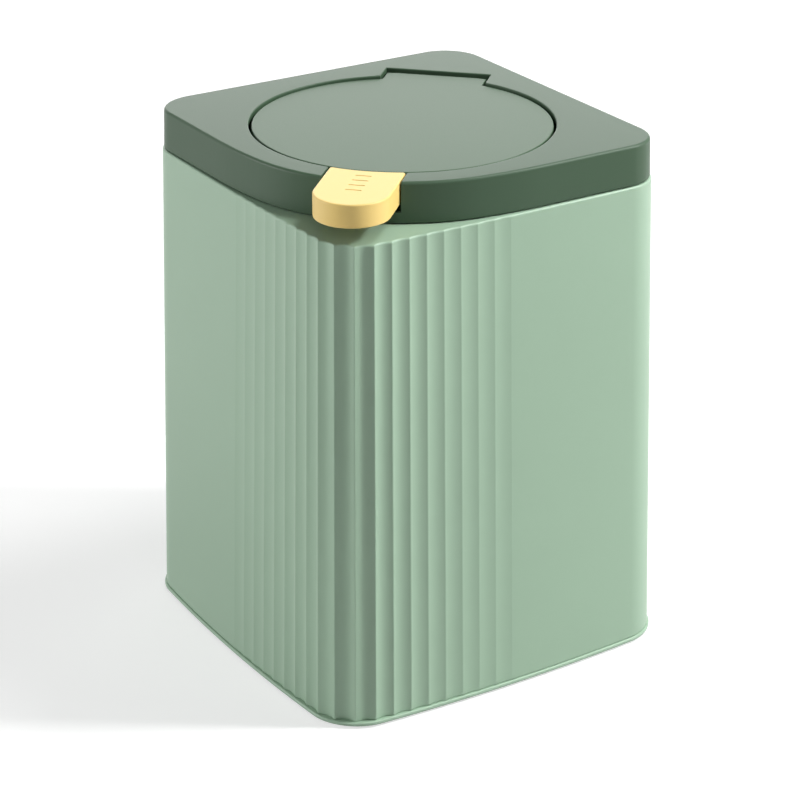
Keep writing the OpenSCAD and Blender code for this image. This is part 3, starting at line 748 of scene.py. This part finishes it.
def buildPushButton():
    edge, low, wall = pushButton["edgeRadius"], pushButton["lowerRadius"], pushButton["wall"]
    levels = [(inset, buttonZ + down) for inset, down in reversed(quarterTurn(low, 3))]
    levels += [(inset, lidZ - down) for inset, down in quarterTurn(edge, 5)]
    button = loft([atHeight(buttonOutline(i), z) for i, z in levels], capFirst=True, capLast=True)
    half = pushButton["width"] / 2 - wall
    turn = pushButton["hollowAngle"]
    inside = arc(noseCentre, half, -90, 90, 32)
    inside += arc(flapCentre, lidCover["openRadius"] + wall, turn, -turn, 12)
    postRadius = screws["smallShank"] + pushButton["postWall"]
    posts = [post(postRadius, buttonZ, lidZ - wall / 2, at) for at in postPlaces]
    button = carved(button, prism(inside, buttonZ - past, lidZ - wall))
    button = merged(button, *posts)
    tip = buttonZ - latchLever["plate"] + screws["smallLength"] + screws["beyondTip"]
    slotHalf = latchLever["toothWidth"] / 2 + pushButton["slotClear"]
    cut = [post(screws["smallShank"] + screws["thread"], buttonZ - past, tip, at) for at in postPlaces]
    cut.append(block(buttonBack - pushButton["slotBehind"], buttonBack + wall + past, -slotHalf, slotHalf,
                     buttonZ - past, latchLever["toothTop"] + pushButton["slotAbove"]))
    length, width = pushButton["grooveLength"], pushButton["grooveWidth"]
    for i in range(pushButton["grooves"]):
        x = noseCentre[0] - pushButton["grooveStart"] - i * pushButton["groovePitch"]
        slot = arc((x, length / 2 - width / 2), width / 2, 0, 180, 8)
        slot += arc((x, width / 2 - length / 2), width / 2, 180, 360, 8)
        narrow, short = pushButton["grooveFloor"]
        bed = [(x + (px - x) * narrow, py * short) for px, py in slot]
        levels = ((bed, lidZ - pushButton["grooveDepth"]), (slot, lidZ - pushButton["grooveLip"]),
                  (slot, lidZ + past))
        cut.append(loft([atHeight(outline, z) for outline, z in levels], capFirst=True, capLast=True))
    addLidPiece("pushButton", carved(button, *cut), "button", "button_yellow", "push_button")


buildPushButton()
print("button made")


# the liner under the flap, with the catch lip that the latch holds

def buildFlapLiner():
    radius, wall, r = lidCover["openRadius"] - flapLiner["inset"], flapLiner["wall"], flapLiner["lowerRadius"]
    inner, corner, floorTop = radius - wall, flapLiner["innerCorner"], linerUnder + wall
    profile = [(0, linerUnder)]
    profile += [(radius - inset, linerUnder + down) for inset, down in reversed(quarterTurn(r, 4))]
    profile += [(radius, flapUnder), (inner, flapUnder)]
    profile += [(inner, floorTop + corner), (inner - corner, floorTop), (0, floorTop)]
    liner = lathe(profile, flapCentre, 144)
    lipBottom = linerUnder + flapLiner["lipUnder"]
    half = flapLiner["lipWidth"] / 2
    lip = block(flapShift + radius - wall / 2, flapLiner["lipEnd"], -half, half,
                lipBottom, lipBottom + flapLiner["lipThickness"])
    liner = merged(liner, bevelled(lip, flapLiner["lipBevel"]))
    holeRadius, holeTop = screws["shank"] + screws["hole"], linerUnder + flapLiner["holeDepth"]
    holes = [post(holeRadius, linerUnder - past, holeTop, at) for at in flapScrewPlaces]
    addLidPiece("flapLiner", carved(liner, *holes), "flap", "inner_plastic", "flap_liner")


buildFlapLiner()


# the frame inside the lid: plate, collar that sits in the body, throat ring, hinge and latch ears

lidFrame = {"plate": 2, "plateInset": 2.4, "collarInset": 6.4, "collar": 12, "collarWall": 1.6,
            "throatRadius": 46, "throatWall": 1.6, "throatGap": 0.3, "earThickness": 3.2, "earRadius": 2.3,
            "earStart": 19.6, "window": 20.6, "latchEar": 3, "round": 0.5, "chamfer": 0.4, "lowerRound": 0.3,
            "rays": 180, "hingeBore": 30, "latchBore": 20, "barrelClear": 0.3}


def buildLidFrame():
    plateTop, ringTop = deckZ + lidFrame["plate"], linerUnder - lidFrame["throatGap"]
    collarLow = deckZ - lidFrame["collar"]
    throat, thick, wall = lidFrame["throatRadius"], lidFrame["throatWall"], lidFrame["collarWall"]
    side, plate = lidFrame["collarInset"], lidFrame["plateInset"]
    # the section, from the collar's foot up outside, over the plate and the throat, and down inside
    r, c = lidFrame["round"], lidFrame["chamfer"]
    section = [("lid", side + i, collarLow + d) for i, d in reversed(quarterTurn(r, 3))]
    section += [("lid", side, deckZ - c), ("lid", side - c, deckZ)]
    section += [("lid", plate + i, deckZ + d) for i, d in reversed(quarterTurn(lidFrame["lowerRound"], 2))]
    section += [("lid", plate + i, plateTop - d) for i, d in quarterTurn(c, 3)]
    section += [("ring", throat + thick + r, plateTop), ("ring", throat + thick, plateTop + r)]
    section += [("ring", throat + thick - i, ringTop - d) for i, d in quarterTurn(r, 3)]
    section += [("ring", throat + i, ringTop - d) for i, d in reversed(quarterTurn(r, 3))]
    section += [("ring", throat + i, deckZ + d) for i, d in quarterTurn(c, 2)]
    inner = side + wall
    section += [("lid", inner, deckZ), ("lid", inner, collarLow + r), ("lid", inner - r, collarLow)]
    outlines = {place: lidOutline(place) for kind, place, z in section if kind == "lid"}
    angles = [360 * i / lidFrame["rays"] for i in range(lidFrame["rays"])]
    stack = []
    for kind, place, z in section:
        if kind == "lid":
            stack.append([(*rayHit(outlines[place], flapCentre, a), z) for a in angles])
        else:
            stack.append([(*onCircle(flapCentre, place, a), z) for a in angles])
    body = loft(stack, wrap=True)
    barrel, halfWindow = latchLever["barrel"], lidFrame["window"] / 2
    grown = []
    for y0, y1 in bothSides(lidFrame["earStart"], lidFrame["earStart"] + lidFrame["earThickness"]):
        grown.append(ear(lidFrame["earRadius"], y0, y1, hinge, plateTop - lidFrame["plate"] / 2))
    for y0, y1 in bothSides(halfWindow, halfWindow + lidFrame["latchEar"]):
        grown.append(ear(barrel, y0, y1, latchPin, collarLow))
    head, hole = screws["head"], screws["hole"]
    padTop = deckZ + screws["frameSink"] + screws["headHeight"] + hole + screws["padWeb"]
    padRadius, c = head + screws["padWall"], screws["padChamfer"]
    pad = [(0, deckZ), (padRadius, deckZ), (padRadius, padTop - c), (padRadius - c, padTop), (0, padTop)]
    grown += [lathe(pad, at, 40) for at in framePlaces()]
    body = merged(body, *grown)
    seat = padTop - screws["padWeb"] - hole
    low, high = deckZ - past, padTop + past
    drill = [(0, low), (head + hole, low), (head + hole, seat), (screws["shank"] + hole, seat),
             (screws["shank"] + hole, high), (0, high)]
    cut = [lathe(drill, at, 32) for at in framePlaces()]
    bore = pins["radius"] + pins["press"]
    cut += [rod(bore, -reach, reach, at)
            for reach, at in ((lidFrame["hingeBore"], hinge), (lidFrame["latchBore"], latchPin))]
    reach, x = barrel + lidFrame["barrelClear"], latchPin[0]
    cut.append(block(x - reach, x + reach, -halfWindow, halfWindow, low, plateTop + past))
    for tool in cut:
        body = carved(body, tool)
    addLidPiece("lidFrame", body, "lid", "inner_plastic", "lid_frame")


buildLidFrame()
print("liner and frame made")


# the latch lever under the button: barrel, plate and the tooth that holds the flap's lip

def buildLatchLever():
    half, toothHalf = latchLever["width"] / 2, latchLever["toothWidth"] / 2
    face = latchPin[0] - latchLever["faceIn"]
    behind, low = face + latchLever["upright"], buttonZ - latchLever["plate"]
    under, top = latchLever["toothUnder"], latchLever["toothTop"]
    upright = block(face, behind, -half, half, latchPin[1], buttonZ)
    plate = block(face, latchLever["end"], -half, half, low, buttonZ)
    stem = block(face, behind - latchLever["stemStep"], -toothHalf, toothHalf, low, top)
    root, nose = face + latchLever["toothRoot"], face - latchLever["bite"]
    section = [(root, under), (nose, under), (nose, under + latchLever["toothNose"]), (root, top)]
    sides = [[(x, y, z) for x, z in section] for y in (-toothHalf, toothHalf)]
    tooth = loft(sides, capFirst=True, capLast=True)
    lever = rod(latchLever["barrel"], -half, half, latchPin, chamfer=latchLever["barrelChamfer"])
    for part, bevel in zip((upright, plate, stem, tooth), latchLever["bevels"]):
        lever = merged(lever, bevelled(part, bevel))
    lever = carved(lever, rod(pins["radius"] + pins["fit"], -half - past, half + past, latchPin))
    holeRadius = screws["smallShank"] + screws["hole"]
    holes = [post(holeRadius, low - past, buttonZ + past, at) for at in postPlaces]
    addLidPiece("latchLever", carved(lever, *holes), "button", "inner_plastic", "latch_lever")


buildLatchLever()
print("latch lever made")


# screws, pins and springs

panHead = {"crown": ((0.6, 0.04), (0.85, 0.2), (1, 0.6)),  # share of the head's radius, height
           "point": 0.8, "pointShare": 0.4, "crossArm": 0.55, "crossHalf": 0.13, "crossDeep": 0.6}


def screw(at, z, shank, radius, headRadius, headHeight):
    # a pan head at the bottom with a cross cut in it, the shank upwards
    seat, tip = z + headHeight, z + headHeight + shank
    profile = [(0, z)] + [(headRadius * share, z + up) for share, up in panHead["crown"]]
    profile += [(headRadius, seat), (radius, seat), (radius, tip - panHead["point"])]
    profile += [(radius * panHead["pointShare"], tip), (0, tip)]
    solid = lathe(profile, at, 32)
    arm, half = headRadius * panHead["crossArm"], headRadius * panHead["crossHalf"]
    deep = z + headHeight * panHead["crossDeep"]
    cross = [block(at[0] - a, at[0] + a, at[1] - b, at[1] + b, z - past, deep)
             for a, b in ((arm, half), (half, arm))]
    return carved(solid, merged(*cross))


def tube(path, radius, sides=12):
    # round wire along a path, with flat ends
    bm = bmesh.new()
    aside = Vector((0.31, 0.17, 0.93))  # a direction that no wire here follows
    turns = [2 * pi * k / sides for k in range(sides)]
    rows = []
    for i, place in enumerate(path):
        along = (path[min(i + 1, len(path) - 1)] - path[max(i - 1, 0)]).normalized()
        across = along.cross(aside).normalized()
        over = along.cross(across)
        rows.append([bm.verts.new(place + radius * (cos(a) * across + sin(a) * over)) for a in turns])
    for one, two in zip(rows, rows[1:]):
        for k in range(sides):
            m = (k + 1) % sides
            bm.faces.new((one[k], one[m], two[m], two[k]))
    bm.faces.new(rows[0])
    bm.faces.new(rows[-1])
    bmesh.ops.recalc_face_normals(bm, faces=bm.faces)
    return bm


hingeSpring = {"coilRadius": 1.75, "wire": 0.35, "turns": 5, "length": 6.2, "start": 4.0, "lean": 25,
               "steps": 32, "standGap": 0.3, "standPlaces": (1, 0.5, 0.2), "legPast": 1, "legSteps": 4,
               "blendIn": 0.4}
leverSpring = {"coilRadius": 2, "wire": 0.25, "turns": 4, "away": 5.05, "steps": 120, "keep": 0.66}


def hingeSpringPath(side):
    coil, lean = hingeSpring["coilRadius"], radians(hingeSpring["lean"])
    linerRadius = lidCover["openRadius"] - flapLiner["inset"]
    leg = (flapShift - linerRadius + hingeSpring["legPast"] - hinge[0] + coil * sin(lean)) / cos(lean)
    stand = hinge[1] - (deckZ + lidFrame["plate"]) - hingeSpring["standGap"]
    turn = 360 * hingeSpring["turns"] + 90 - hingeSpring["lean"]
    count, start = hingeSpring["steps"] * hingeSpring["turns"], side * hingeSpring["start"]
    path = [Vector((hinge[0] - coil, start, hinge[1] - stand * share))
            for share in hingeSpring["standPlaces"]]
    for i in range(count + 1):
        a = radians(180 + turn * i / count)
        path.append(Vector((hinge[0] + coil * cos(a), start + side * hingeSpring["length"] * i / count,
                            hinge[1] + coil * sin(a))))
    tip, legSteps = path[-1], hingeSpring["legSteps"]
    outward = Vector((cos(lean), 0, -sin(lean)))
    return path + [tip + leg * k / legSteps * outward for k in range(1, legSteps + 1)]


def buildHardware():
    shank, head, headHeight = screws["shank"], screws["head"], screws["headHeight"]
    low = buttonZ - latchLever["plate"] - screws["smallHeadHeight"]
    groups = {
        "frameScrews": ("lid", "frame_screws", framePlaces(), deckZ + screws["frameSink"],
                        screws["frameLength"], shank, head, headHeight),
        "flapScrews": ("flap", "flap_screws", flapScrewPlaces, linerUnder - headHeight,
                       screws["flapLength"], shank, head, headHeight),
        "buttonScrews": ("button", "button_screws", postPlaces, low, screws["smallLength"],
                         screws["smallShank"], screws["smallHead"], screws["smallHeadHeight"]),
    }
    for name, (body, node, places, *sizes) in groups.items():
        group = joined([screw(at, *sizes) for at in places])
        addLidPiece(name, group, body, "steel", node)
    reaches = {"hingePin": (lidFrame["earStart"] + lidFrame["earThickness"], hinge, "hinge_pin"),
               "latchPin": (lidFrame["window"] / 2 + lidFrame["latchEar"], latchPin, "lever_pin")}
    for name, (reach, at, node) in reaches.items():
        pin = rod(pins["radius"], -reach, reach, at, chamfer=pins["chamfer"])
        addLidPiece(name, pin, "lid", "steel", node)
    for side, name in ((-1, "left"), (1, "right")):
        coil = tube(hingeSpringPath(side), hingeSpring["wire"])
        piece = addLidPiece("hingeSpring_" + name, coil, None, "steel", "hinge_spring_" + name)
        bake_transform(piece)
    low, high = (corner.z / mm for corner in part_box("lever_spring"))
    wire, centreX = leverSpring["wire"], latchPin[0] + leverSpring["away"]
    path = []
    for i in range(leverSpring["steps"] + 1):
        share = i / leverSpring["steps"]
        x, y = onCircle((centreX, 0), leverSpring["coilRadius"], 360 * leverSpring["turns"] * share)
        path.append(Vector((x, y, mix(low + wire, high - wire, share))))
    piece = addLidPiece("latchSpring", tube(path, wire, 10), "lid", "steel", "lever_spring")
    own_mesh(piece)


buildHardware()
print("screws, pins and springs made")


# light: a small bright softbox to the right throws the crisp shadows and a wider one above it softens
# them; low ones light the right, the left and the back, and a weak one fills in from the front

lamps = {
    "keySoftbox": {"azimuth": 55, "elevation": 38, "distance": 1.5, "size": (0.16, 0.16), "power": 18.5},
    "highSoftbox": {"azimuth": 65, "elevation": 60, "distance": 1.5, "size": (0.4, 0.4), "power": 12},
    "lowSoftbox": {"azimuth": 50, "elevation": 12, "distance": 1.5, "size": (0.4, 0.4), "power": 3.8},
    "leftSoftbox": {"azimuth": -118, "elevation": 10, "distance": 1.5, "size": (0.6, 0.6), "power": 13.5},
    "backSoftbox": {"azimuth": 150, "elevation": 12, "distance": 1.5, "size": (1.3, 0.5), "power": 7.9},
    "frontSoftbox": {"azimuth": -30, "elevation": 35, "distance": 1.5, "size": (1.2, 0.8), "power": 4.5},
}
lampAim = 0.1              # height that the lamps point at
room = {
    "floorSize": 6, "floorColour": 0.5, "ambient": 0.0, "white": 1.0,
    "floorNear": (0.35, 0.6), "floorFar": (1.4, 1.0),  # distance from the bin, how white the floor shows
}


def addLamps():
    for name, lamp in lamps.items():
        data = bpy.data.lights.new(name, "AREA")
        data.shape = "RECTANGLE"
        data.size, data.size_y = lamp["size"]
        data.energy = lamp["power"]
        away = toward(lamp["azimuth"], lamp["elevation"])
        item = bpy.data.objects.new(name, data)
        item.location = Vector((0, 0, lampAim)) + away * lamp["distance"]
        item.rotation_euler = away.to_track_quat("Z", "Y").to_euler()
        item.visible_camera = False
        scene.collection.objects.link(item)


def seenDirectly(tree):
    # 1 for the rays that show the background as it is: camera, glossy and transmission rays
    path = addNode(tree, "LightPath", {})
    total = path.outputs["Is Camera Ray"]
    for kind in ("Is Glossy Ray", "Is Transmission Ray"):
        larger = addNode(tree, "Math", {}, operation="MAXIMUM")
        tree.links.new(total, larger.inputs[0])
        tree.links.new(path.outputs[kind], larger.inputs[1])
        total = larger.outputs[0]
    return total


def addWorld():
    world = bpy.data.worlds.new("room")
    scene.world = world
    world.use_nodes = True
    tree = world.node_tree
    ambient = tree.nodes["Background"]
    ambient.inputs["Color"].default_value = (room["ambient"],) * 3 + (1,)
    white = addNode(tree, "Background", {"Color": (room["white"],) * 3 + (1,)})
    choice = addNode(tree, "MixShader", {})
    tree.links.new(seenDirectly(tree), choice.inputs["Fac"])
    tree.links.new(ambient.outputs[0], choice.inputs[1])
    tree.links.new(white.outputs[0], choice.inputs[2])
    tree.links.new(choice.outputs[0], tree.nodes["World Output"].inputs["Surface"])


def floorFinish():
    # a pale matt floor that takes shadows; seen directly it is whiter, and quite white far from the bin
    material, tree, shader = newMaterial("paleFloor")
    tree.nodes.remove(shader)
    (near, whiteNear), (far, whiteFar) = room["floorNear"], room["floorFar"]
    span = {"From Min": near, "To Min": whiteNear, "From Max": far, "To Max": whiteFar}
    paint = addNode(tree, "BsdfDiffuse", {"Color": (room["floorColour"],) * 3 + (1,)})
    place = addNode(tree, "TexCoord", {})
    away = addNode(tree, "VectorMath", {}, operation="LENGTH")
    fade = addNode(tree, "MapRange", span, interpolation_type="SMOOTHSTEP")
    brightness = addNode(tree, "Math", {}, operation="MULTIPLY")
    glow = addNode(tree, "Emission", {})
    both = addNode(tree, "AddShader", {})
    link = tree.links.new
    link(place.outputs["Object"], away.inputs[0])
    link(away.outputs["Value"], fade.inputs["Value"])
    link(seenDirectly(tree), brightness.inputs[0])
    link(fade.outputs["Result"], brightness.inputs[1])
    link(brightness.outputs[0], glow.inputs["Strength"])
    link(paint.outputs[0], both.inputs[0])
    link(glow.outputs[0], both.inputs[1])
    link(both.outputs[0], tree.nodes["Material Output"].inputs["Surface"])
    return material


def addFloor():
    half = room["floorSize"] / 2
    bm = bmesh.new()
    corners = ((-half, -half), (half, -half), (half, half), (-half, half))
    bm.faces.new([bm.verts.new((x, y, 0)) for x, y in corners])
    mesh = bpy.data.meshes.new("floor")
    bm.to_mesh(mesh)
    bm.free()
    mesh.materials.append(floorFinish())
    ground = bpy.data.objects.new("floor", mesh)
    scene.collection.objects.link(ground)


addLamps()
addWorld()
addFloor()
scene.view_settings.view_transform = "Standard"
print("room and lamps made:", len(lamps))
